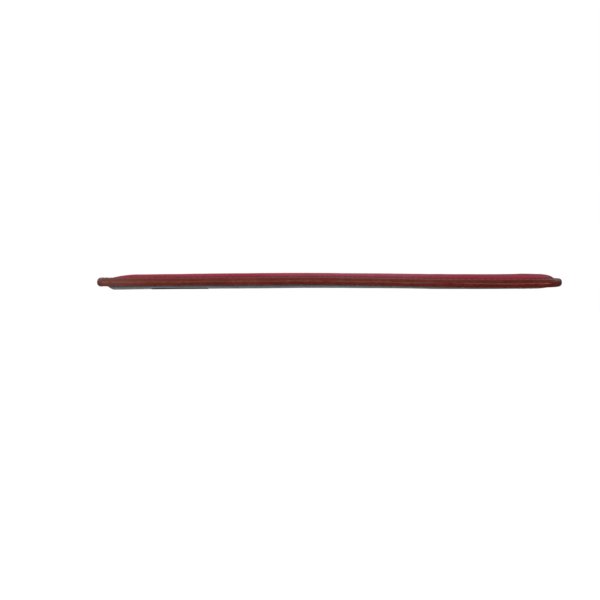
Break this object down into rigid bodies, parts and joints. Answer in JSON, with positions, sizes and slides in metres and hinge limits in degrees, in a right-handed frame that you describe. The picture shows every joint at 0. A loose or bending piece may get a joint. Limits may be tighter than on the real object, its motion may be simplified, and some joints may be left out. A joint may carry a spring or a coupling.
{
  "type": "kick paddle",
  "caption": "Slim single-leaf kick paddle with a padded handle, flared head, crimson strike face, grey back and a bound leather edge.",
  "frame": {"origin": "under the middle of the paddle's box, on the plane of the rear face's flat plateau", "axes": "+X runs along the paddle from the handle end to the head end, +Z comes out of the crimson front face, and Y runs across the head"},
  "size_m": [0.3899, 0.19, 0.0129],
  "materials": {
    "front_leather": "satin, fine-grained crimson leather",
    "rear_leather": "satin, fine-grained slate-grey leather",
    "binding_leather": "polished reddish-brown leather strip",
    "binding_thread": "waxed, twisted dark red thread",
    "foam": "closed-cell foam sheet",
    "board": "matt, slightly textured board",
    "slat": "matt fibre-filled plastic",
    "rivet_metal": "satin",
    "welt": "rough split leather",
    "label": "matt black, blank",
    "label_thread": "fine dark thread"
  },
  "bodies": {
    "root": {"front_cover": "front_leather", "rear_cover": "rear_leather", "front_foam": "foam", "rear_foam": "foam", "core_board": "board", "handle_spine": "slat", "spine_rivets": "rivet_metal", "rim_welt": "welt", "edge_binding": "binding_leather", "binding_thread_front": "binding_thread", "binding_thread_rear": "binding_thread", "label_patch": "label", "label_thread": "label_thread"}
  },
  "joints": []
}
